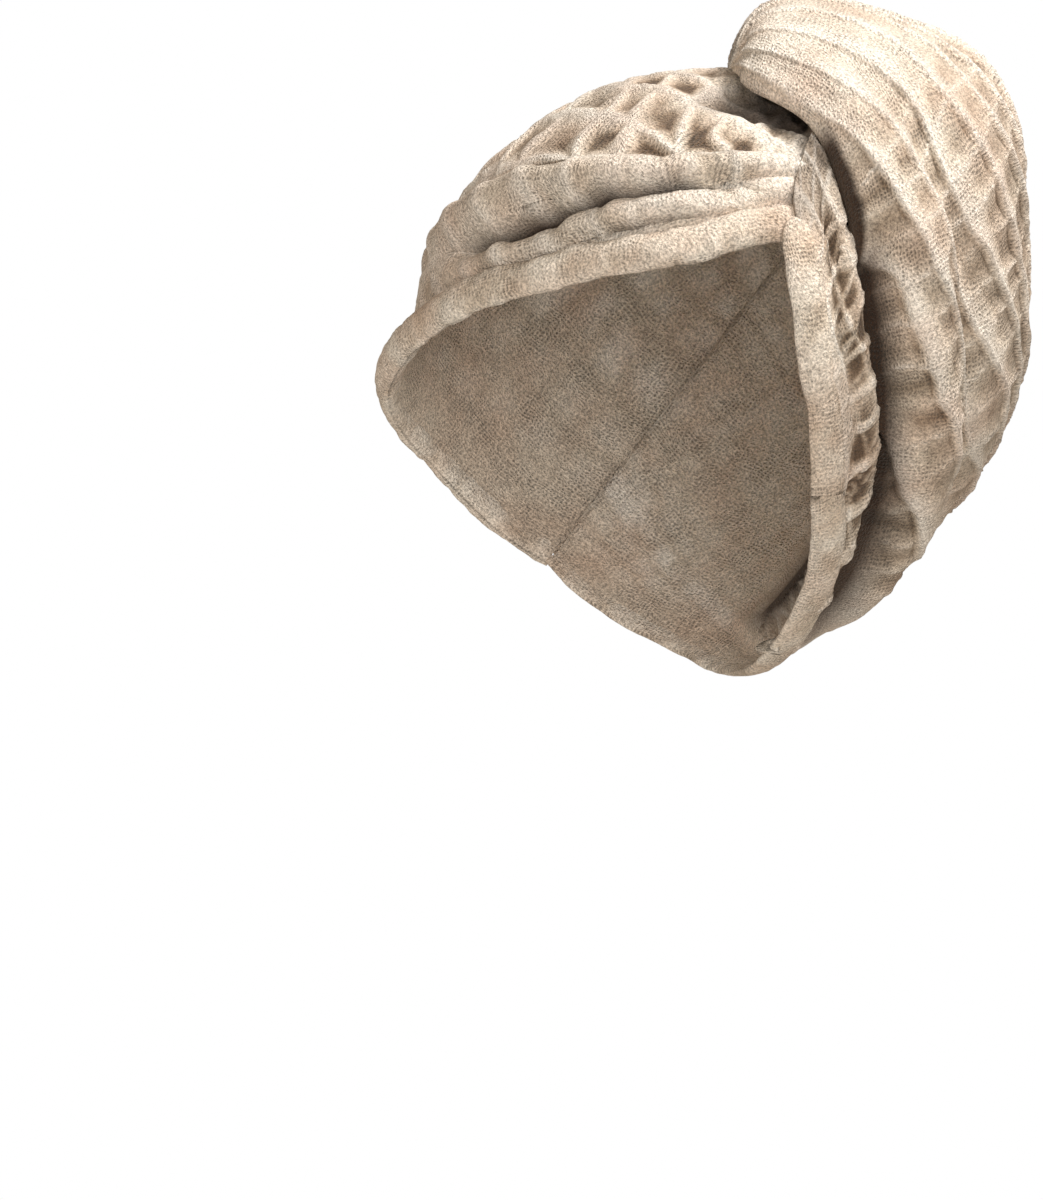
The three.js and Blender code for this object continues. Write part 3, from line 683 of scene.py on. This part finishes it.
# %% A node with its settings and links
def add_node(tree, kind, settings=None, **sockets):
    """Adds a node. Settings are its properties. Sockets are values or outputs to link, by the socket's
    name, or by its number after an underscore."""
    node = tree.nodes.new(kind)
    for name, value in (settings or {}).items():
        setattr(node, name, value)
    for name, value in sockets.items():
        socket = node.inputs[int(name[1:])] if name[0] == "_" else node.inputs[name.replace("_", " ")]
        if isinstance(value, bpy.types.NodeSocket):
            tree.links.new(value, socket)
        else:
            socket.default_value = value
    return node


def new_material(name, **constants):
    """A node material, its tree and its surface shader, which gets the constants on its own sockets."""
    material = bpy.data.materials.new(name)
    material.use_nodes = True
    tree = material.node_tree
    tree.nodes.clear()
    shader = add_node(tree, "ShaderNodeBsdfPrincipled", **constants)
    output = add_node(tree, "ShaderNodeOutputMaterial")
    tree.links.new(shader.outputs["BSDF"], output.inputs["Surface"])
    return material, tree, shader


# %% [markdown]
# ## Napped waffle towelling
# The cloth is polyester and polyamide microfibre, knitted in loops and then brushed, so that each loop
# stands as a small dull tuft. It has no gloss at all, but its fibre ends catch light where the cloth turns
# away, which is the sheen of every napped fabric. The floors of the cells keep their knitted rows, about
# 1.3 mm apart. Their colour is painted darker than the crests: painted shade in the hollows of the lattice.

# %% Material of the cloth
STITCH = 0.0013  # metres from one knitted row to the next
TUFT = 0.0009  # metres across a tuft of the nap
RELIEF = 0.0009  # metres that the tufts stand up
WAVE_BAND = 0.31416  # a wave texture of scale 1 has a band every 0.31416 m


def towelling(name, crest, ground, slope, floor, groove):
    """Napped microfibre towelling, in five tones from the crest of the lattice down to its grooves: painted
    shade in the hollows.
    """
    material, tree, shader = new_material(
        name, Roughness=0.95, IOR=1.5, Specular_IOR_Level=0.15, Sheen_Weight=0.15, Sheen_Roughness=0.6,
        Sheen_Tint=hex_colour("#fff4e6"))
    cloth = add_node(tree, "ShaderNodeUVMap", {"uv_map": "cloth"}).outputs["UV"]
    place = add_node(tree, "ShaderNodeTexCoord").outputs["Object"]
    lattice = add_node(tree, "ShaderNodeAttribute", {"attribute_name": "lattice"}).outputs["Fac"]
    # Knitted stitches: rows and columns, bent a little, as the floats pull them about.
    wobble = add_node(tree, "ShaderNodeTexNoise", Vector=cloth, Scale=120.0, Detail=2.0)
    bent = add_node(tree, "ShaderNodeMix", {"data_type": "VECTOR"}, _0=0.005, _4=cloth,
                    _5=wobble.outputs["Color"])
    rows = add_node(tree, "ShaderNodeTexWave", {"bands_direction": "Y"}, Vector=bent.outputs[1],
                    Scale=WAVE_BAND / STITCH, Distortion=1.2, Detail=1.0)
    columns = add_node(tree, "ShaderNodeTexWave", {"bands_direction": "X"}, Vector=bent.outputs[1],
                       Scale=WAVE_BAND / (STITCH * 1.25), Distortion=1.2, Detail=1.0)
    stitches = add_node(tree, "ShaderNodeMath", {"operation": "MULTIPLY"}, _0=rows.outputs["Fac"],
                        _1=columns.outputs["Fac"])
    open_floor = add_node(tree, "ShaderNodeMapRange", Value=lattice, From_Min=0.2, From_Max=0.95,
                          To_Min=1.0, To_Max=0.65)
    shown = add_node(tree, "ShaderNodeMath", {"operation": "MULTIPLY"}, _0=stitches.outputs["Value"],
                     _1=open_floor.outputs["Result"])
    brushed = add_node(tree, "ShaderNodeTexNoise", Vector=place, Scale=70.0, Detail=2.0)
    unbrushed = add_node(tree, "ShaderNodeMapRange", Value=brushed.outputs["Fac"], From_Min=0.38,
                         From_Max=0.62, To_Min=0.25, To_Max=1.0)
    knit = add_node(tree, "ShaderNodeMath", {"operation": "MULTIPLY"}, _0=shown.outputs["Value"],
                    _1=unbrushed.outputs["Result"])
    # Tufts of the nap, and the uneven brushing over a few centimetres.
    tufts = add_node(tree, "ShaderNodeTexNoise", Vector=place, Scale=1.0 / TUFT, Detail=2.0, Roughness=0.7)
    clumps = add_node(tree, "ShaderNodeTexNoise", Vector=place, Scale=0.3 / TUFT, Detail=2.0, Roughness=0.5)
    patches = add_node(tree, "ShaderNodeTexNoise", Vector=place, Scale=38.0, Detail=3.0, Roughness=0.55)
    # Painted shade: the lattice colours the cloth darker from the crest down to the floor of a cell, and
    # darkest in the groove under each crest, a painted shadow line. The tufts speckle it.
    tone = add_node(tree, "ShaderNodeValToRGB", Fac=lattice)
    stops = tone.color_ramp.elements
    stops[0].color, stops[1].color = hex_colour(groove), hex_colour(crest)
    for height, shade in ((0.16, floor), (0.32, slope), (0.58, ground)):
        stops.new(height).color = hex_colour(shade)
    speckle = add_node(tree, "ShaderNodeMapRange", Value=tufts.outputs["Fac"], From_Min=0.32, From_Max=0.68,
                       To_Min=0.5, To_Max=1.3)
    holes = add_node(tree, "ShaderNodeMapRange", Value=knit.outputs["Value"], From_Min=0.2, From_Max=0.8,
                     To_Min=1.04, To_Max=0.60)
    warm = add_node(tree, "ShaderNodeMapRange", Value=patches.outputs["Fac"], From_Min=0.4, From_Max=0.7,
                    To_Max=0.6)
    # Painted shade: deep in the creases, in the valley and under the lobe the colour is darkened towards
    # #453529.
    painted_shade = add_node(tree, "ShaderNodeAttribute", {"attribute_name": "painted_shade"}).outputs["Fac"]
    painted_fold_shade = add_node(tree, "ShaderNodeMapRange", Value=painted_shade, From_Min=0.1, From_Max=0.9)
    # Each layer multiplies the colour: how strongly, and by what.
    layers = [(1.0, speckle.outputs["Result"]), (1.0, holes.outputs["Result"]),
              (warm.outputs["Result"], hex_colour("#f3dfd5")),
              (painted_fold_shade.outputs["Result"], hex_colour("#453529"))]
    colour = tone.outputs["Color"]
    for strength, layer in layers:
        colour = add_node(tree, "ShaderNodeMix", {"data_type": "RGBA", "blend_type": "MULTIPLY"},
                          _0=strength, _6=colour, _7=layer).outputs[2]
    tree.links.new(colour, shader.inputs["Base Color"])
    # Relief: tufts and clumps stand up, and the holes of the stitches sink.
    nap = add_node(tree, "ShaderNodeMath", {"operation": "MULTIPLY_ADD"}, _0=tufts.outputs["Fac"], _1=1.5,
                   _2=clumps.outputs["Fac"])
    high = add_node(tree, "ShaderNodeMath", {"operation": "MULTIPLY_ADD"}, _0=knit.outputs["Value"], _1=-0.8,
                    _2=nap.outputs["Value"])
    bump = add_node(tree, "ShaderNodeBump", Height=high.outputs["Value"], Strength=1.0, Distance=RELIEF)
    tree.links.new(bump.outputs["Normal"], shader.inputs["Normal"])
    return material


waffle_towelling = towelling("napped_waffle_towelling", "#ece2d4", "#d9cab7", "#bbaa96", "#94816c", "#665443")
hem_towelling = towelling("rolled_hem_towelling", "#eadfcf", "#d6c6b2", "#bbaa96", "#94816c", "#665443")
print("materials:", [m.name for m in bpy.data.materials])

# %% [markdown]
# ## The panels of cloth
# Three shells: the left panel, the narrow right one, and the tail that is rolled over both. Each takes the
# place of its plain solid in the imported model.

# %% Make the panels
left = cloth_shell("waffle_panel_left", LEFT, side_lattice, depth=2.6, proud=0.6, steps_along=300,
                   steps_across=285, power=1.0, material=waffle_towelling)
right_strip = cloth_shell("waffle_panel_right", RIGHT, strip_lattice, depth=2.3, proud=0.3, steps_along=360,
                          steps_across=150, power=1.0, material=waffle_towelling)
tail = cloth_shell("waffle_tail", TAIL, tail_lattice, depth=3.0, proud=1.0, steps_along=300,
                   steps_across=288, power=1.25, material=waffle_towelling)

# %% [markdown]
# ## Rolled hems
# The long edges of the towel are folded over twice and stitched, and the brushing makes them soft rolls.
# A hem is swept: an oval ring is carried along the edge, and its size swells and shrinks a little between
# the stitches, because the thread pulls the roll in.

# %% Swept rolls
END_TAPER = 0.001  # share of a roll over which its end closes


def hem_path(panel, inset, thickness):
    """The middle of a hem, at a share across its panel."""
    def at(share):
        along, across = np.clip(share, 0, 1), np.array([inset])
        lift = outward(panel, along, across) * (thickness / 2)
        return (inner_face(panel, along, across) + lift)[:, 0]
    return at


def roll(name, path, width, thickness, steps, sides, swell, seed, material, start_taper=0.012):
    """A closed roll round a path. Swell is how far its surface wanders, in millimetres, and start_taper the
    share of its length over which it thickens at its start."""
    share = np.arange(steps + 1) / steps
    middle = path(share)
    flow = path(share + NEARBY) - path(share - NEARBY)
    flow /= np.linalg.norm(flow, axis=-1, keepdims=True)
    rise = middle - MIDDLE
    sideways = np.cross(rise, flow)
    sideways /= np.linalg.norm(sideways, axis=-1, keepdims=True)
    out = np.cross(flow, sideways)
    turn = 2 * np.pi * np.arange(sides) / sides
    run = np.concatenate([[0.0], np.cumsum(np.linalg.norm(np.diff(middle, axis=0), axis=-1))])
    p, q = run[:, None] * np.ones(sides), turn[None, :] * width / 2 * np.ones((steps + 1, 1))
    mirrored = np.abs(q - np.pi * width / 2)  # the same on both sides, so the roll shows no joint
    wander = swell * (lumps(p, mirrored, 11.0, seed) + 0.5 * lumps(p, mirrored, 4.0, seed + 1)
                      + 0.22 * lumps(p, mirrored, 1.7, seed + 2))
    close = np.minimum(share / start_taper, (1 - share) / END_TAPER)[:, None]
    close = np.sqrt(1 - (1 - np.clip(close, 0, 1)) ** 2)
    half_width, half_thick = (width / 2 + wander) * close, (thickness / 2 + 0.7 * wander) * close
    ring = (sideways[:, None, :] * (np.cos(turn)[None, :] * half_width)[..., None]
            + out[:, None, :] * (np.sin(turn)[None, :] * half_thick)[..., None])
    points = (middle[:, None, :] + ring).reshape(-1, 3)
    number = np.arange((steps + 1) * sides).reshape(steps + 1, sides)
    ahead = np.roll(number, -1, axis=1)
    quads = np.stack([number[:-1], number[1:], ahead[1:], ahead[:-1]], -1).reshape(-1, 4).tolist()
    quads += [number[0][::-1].tolist(), number[-1].tolist()]
    places = np.stack([p, q], -1).reshape(-1, 2)
    # The colour ramp paints the pinched places of the roll darker, as painted shade, and the swollen ones
    # paler.
    heights = np.clip(0.80 + 0.30 * wander / swell, 0, 1).ravel()
    made = mesh_object(name, points, quads, places, heights, 0 * heights, material)
    turn_faces_out(made)
    return made


left_hem = roll("hem_roll_left", hem_path(LEFT, inset=0.008, thickness=8.0), width=12.5, thickness=8.0,
                steps=520, sides=32, swell=0.75, seed=51, material=hem_towelling)
right_hem = roll("hem_roll_right", hem_path(RIGHT, inset=0.0, thickness=4.5), width=12.0, thickness=4.5,
                 steps=520, sides=28, swell=0.40, seed=61, material=hem_towelling, start_taper=0.06)

# %% [markdown]
# ## The seam at the back
# The two side panels are sewn together down the back of the head. Seen from outside, the seam is a low soft
# ridge of the turned edges.

# %% Seam
SEAM_END = 0.99  # share of the panels' width where it stops, under the tail
SEAM_SUNK = 0.6  # mm that its middle lies below the outer face of the cloth


def seam_path(share):
    """The middle of the seam, from the nape up to the crown."""
    across, last = np.clip(share, 0, 1) * SEAM_END, np.array([1.0])
    sides = [inner_face(panel, last, across)[0] + outward(panel, last, across)[0] * (CLOTH - SEAM_SUNK)
             for panel in (LEFT, RIGHT)]
    return (sides[0] + sides[1]) / 2


seam = roll("back_seam", seam_path, width=5.0, thickness=2.4, steps=300, sides=16, swell=0.25, seed=71,
            material=hem_towelling)

# %% [markdown]
# ## The fastening at the nape
# A shank button and a loop of elastic cord keep the tail down. The button is moulded in a polyester resin
# that imitates horn: satin, brown, with darker streaks. It is turned as a profile round its axis.

# %% Places at the nape
BUTTON_POLAR = 117.5  # degrees down from the crown, at the back
STAND_OFF = 2.0  # mm that the fastening lies off the cloth
CORD = 3.0  # thickness of the elastic cord
BUTTON = 23.0  # across
BUTTON_THICK = 4.5
RIM = 2.5  # width of the raised rim
DISH = 1.2  # depth of the hollow inside the rim
SHANK = 7.0  # across
LOOP_WIDTH = 13.0
LOOP_LENGTH = 20.0


def nape_point(aside, below, lift):
    """A place near the button, in millimetres beside and below it."""
    azimuth = 180 - np.degrees(aside / (HEAD_DEPTH / 2))
    polar = BUTTON_POLAR + np.degrees(below / NAPE_REACH)
    return form_point(direction(azimuth, polar), CLEARANCE + CLOTH + lift)


# %% Horn-look resin
def horn_resin(name):
    """Moulded polyester resin with streaks, tumbled to a satin polish: soft highlights on the rim."""
    material, tree, shader = new_material(name, IOR=1.55)
    place = add_node(tree, "ShaderNodeTexCoord").outputs["Object"]
    drawn = add_node(tree, "ShaderNodeMapping", Vector=place, Scale=(60.0, 260.0, 260.0))
    streaks = add_node(tree, "ShaderNodeTexNoise", Vector=drawn.outputs["Vector"], Scale=1.0, Detail=4.0)
    tone = add_node(tree, "ShaderNodeValToRGB", Fac=streaks.outputs["Fac"])
    stops = tone.color_ramp.elements
    stops[0].position, stops[0].color = 0.3, hex_colour("#6b5847")
    stops[1].position, stops[1].color = 0.7, hex_colour("#a48d72")
    tree.links.new(tone.outputs["Color"], shader.inputs["Base Color"])
    polish = add_node(tree, "ShaderNodeTexNoise", Vector=place, Scale=900.0, Detail=2.0)
    worn = add_node(tree, "ShaderNodeMapRange", Value=polish.outputs["Fac"], To_Min=0.32, To_Max=0.5)
    tree.links.new(worn.outputs["Result"], shader.inputs["Roughness"])
    bump = add_node(tree, "ShaderNodeBump", Height=polish.outputs["Fac"], Strength=0.25, Distance=0.0002)
    tree.links.new(bump.outputs["Normal"], shader.inputs["Normal"])
    return material


resin = horn_resin("horn_look_resin")

# %% The button
def turned_button(name, material):
    """The button's profile turned round its axis, with a rim, a dish and a small raised middle."""
    radius, under = BUTTON / 2, CORD - 0.5
    face = under + BUTTON_THICK
    outline = [(0.0, 0.0), (SHANK / 2 - 0.5, 0.0), (SHANK / 2, 0.5), (SHANK / 2, under - 0.3),
               (SHANK / 2 + 0.5, under), (radius * 0.86, under), (radius * 0.95, under + 0.7),
               (radius, under + 1.8), (radius, under + 2.9), (radius * 0.96, under + 3.9),
               (radius * 0.90, face), (radius - RIM + 0.3, face), (radius - RIM - 0.4, face - 0.35),
               (radius * 0.64, face - DISH + 0.15), (radius * 0.56, face - DISH),
               (radius * 0.22, face - DISH), (radius * 0.10, face - DISH + 0.1), (0.0, face - DISH + 0.12)]
    foot = nape_point(np.array(0.0), np.array(0.0), STAND_OFF)
    down = nape_point(np.array(0.0), np.array(1.0), STAND_OFF) - foot
    down /= np.linalg.norm(down)
    aside = np.array([1.0, 0.0, 0.0])
    out = np.cross(aside, down)
    sides = 64
    points, faces = [foot + out * outline[0][1]], []
    for reach, height in outline[1:-1]:
        for k in range(sides):
            turn = 2 * np.pi * k / sides
            points.append(foot + out * height + reach * (aside * np.cos(turn) + down * np.sin(turn)))
    points.append(foot + out * outline[-1][1])
    last = len(outline) - 3

    def ring(i, k):
        """The number of a point on a ring."""
        return 1 + i * sides + k % sides

    for k in range(sides):
        faces.append([0, ring(0, k), ring(0, k + 1)])
        for i in range(last):
            faces.append([ring(i, k), ring(i + 1, k), ring(i + 1, k + 1), ring(i, k + 1)])
        faces.append([ring(last, k + 1), ring(last, k), len(points) - 1])
    places = [(p[0], p[2]) for p in points]
    made = mesh_object(name, points, faces, places, [1.0] * len(points), [0.0] * len(points), material)
    turn_faces_out(made)
    return made


button = turned_button("nape_button", resin)

# %% [markdown]
# The loop is a round elastic cord with a braided polyester cover in the cloth's own colour. It comes out
# from under the tip of the tail, goes round the shank below the button, and back up.

# %% The loop
def braided_elastic(name):
    """A braided cover, matt, with the threads crossing at about one millimetre."""
    material, tree, shader = new_material(name, Roughness=0.8, Specular_IOR_Level=0.3)
    cloth = add_node(tree, "ShaderNodeUVMap", {"uv_map": "cloth"}).outputs["UV"]
    braid = add_node(tree, "ShaderNodeTexWave", {"bands_direction": "DIAGONAL"}, Vector=cloth, Scale=180.0)
    tone = add_node(tree, "ShaderNodeMix", {"data_type": "RGBA"}, _0=braid.outputs["Fac"],
                    _6=hex_colour("#a8967d"), _7=hex_colour("#cdbd9f"))
    tree.links.new(tone.outputs[2], shader.inputs["Base Color"])
    bump = add_node(tree, "ShaderNodeBump", Height=braid.outputs["Fac"], Strength=0.8, Distance=0.0003)
    tree.links.new(bump.outputs["Normal"], shader.inputs["Normal"])
    return material


def loop_path(share):
    """Down beside the button, round its shank and up again."""
    bend = LOOP_WIDTH / 2
    leg = LOOP_LENGTH - bend
    whole = 2 * leg + np.pi * bend
    run = share * whole
    turn = (run - leg) / bend
    down, up_again = run < leg, run > whole - leg
    aside = np.where(down, -bend, np.where(up_again, bend, -bend * np.cos(turn)))
    below = np.where(down, run - leg, np.where(up_again, whole - leg - run, bend * np.sin(turn)))
    return nape_point(aside, below, STAND_OFF + CORD / 2)


loop = roll("elastic_loop", loop_path, width=CORD, thickness=CORD, steps=160, sides=20, swell=0.05, seed=81,
            material=braided_elastic("braided_elastic"))

# %% [markdown]
# ## Riding on the frame
# Every piece goes with the one body of the imported model. The panels, the hems and the button stand for
# their plain solids there, which are hidden.

# %% Ride and replace
PIECES = [(left, "left_panel", "waffle_cloth"), (right_strip, "right_panel", "waffle_cloth"),
          (tail, "twisted_tail", "waffle_cloth"), (left_hem, "left_hem", "hem_cloth"),
          (right_hem, "right_hem", "hem_cloth"), (button, "button_and_loop", "button")]
for piece, node, slot in PIECES:
    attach(piece, "root")
    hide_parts(node)
for piece, slot in ((seam, "hem_cloth"), (loop, "hem_cloth")):
    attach(piece, "root")

# %% [markdown]
# ## Floor, backdrop and light
# A catalogue picture of a towel is lit by large soft sources: one key from above, a weak fill from the front
# and a pale room all round. The floor is a plain pale disc far below.

# %% Floor
def paper_floor(name):
    """Plain matt paper."""
    material, tree, shader = new_material(name, Roughness=0.9)
    place = add_node(tree, "ShaderNodeTexCoord").outputs["Object"]
    mottle = add_node(tree, "ShaderNodeTexNoise", Vector=place, Scale=3.0, Detail=2.0)
    tone = add_node(tree, "ShaderNodeMix", {"data_type": "RGBA"}, _0=mottle.outputs["Fac"],
                    _6=hex_colour("#f4f3f1"), _7=hex_colour("#f8f7f5"))
    tree.links.new(tone.outputs[2], shader.inputs["Base Color"])
    return material


bpy.ops.mesh.primitive_circle_add(vertices=96, radius=3.0, fill_type="NGON", location=(0, 0, -0.9))
floor = bpy.context.object
floor.name = "floor"
floor.data.materials.append(paper_floor("matt_paper"))

# %% Lights
ROOM_LEVEL = 0.41  # the light that the pale room gives
world = bpy.data.worlds.new("pale_studio")
bpy.context.scene.world = world
world.use_nodes = True
studio = world.node_tree
studio.nodes.clear()
# The backdrop shows white, but gives only part of that light, as paper that stands well behind does.
seen = add_node(studio, "ShaderNodeLightPath").outputs["Is Camera Ray"]
level = add_node(studio, "ShaderNodeMix", {"data_type": "FLOAT"}, _0=seen, _2=ROOM_LEVEL, _3=1.0)
tint = add_node(studio, "ShaderNodeMix", {"data_type": "RGBA"}, _0=seen, _6=hex_colour("#fdeedd"),
                _7=hex_colour("#ffffff"))
paper = add_node(studio, "ShaderNodeBackground", Color=tint.outputs[2], Strength=level.outputs[0])
add_node(studio, "ShaderNodeOutputWorld", Surface=paper.outputs["Background"])
bpy.context.scene.view_settings.view_transform = "Standard"


def soft_light(name, place, aim, size, power):
    """A square area light that looks at a point."""
    data = bpy.data.lights.new(name, "AREA")
    data.size, data.energy = size, power
    lamp = bpy.data.objects.new(name, data)
    lamp.location = place
    lamp.rotation_euler = (Vector(aim) - Vector(place)).to_track_quat("-Z", "Y").to_euler()
    bpy.context.scene.collection.objects.link(lamp)


soft_light("key", place=(-0.14, -0.26, 0.76), aim=(0, 0, -0.06), size=0.30, power=9.4)
soft_light("fill", place=(0.1, -1.4, 0.15), aim=(0, 0, -0.08), size=0.8, power=12.0)
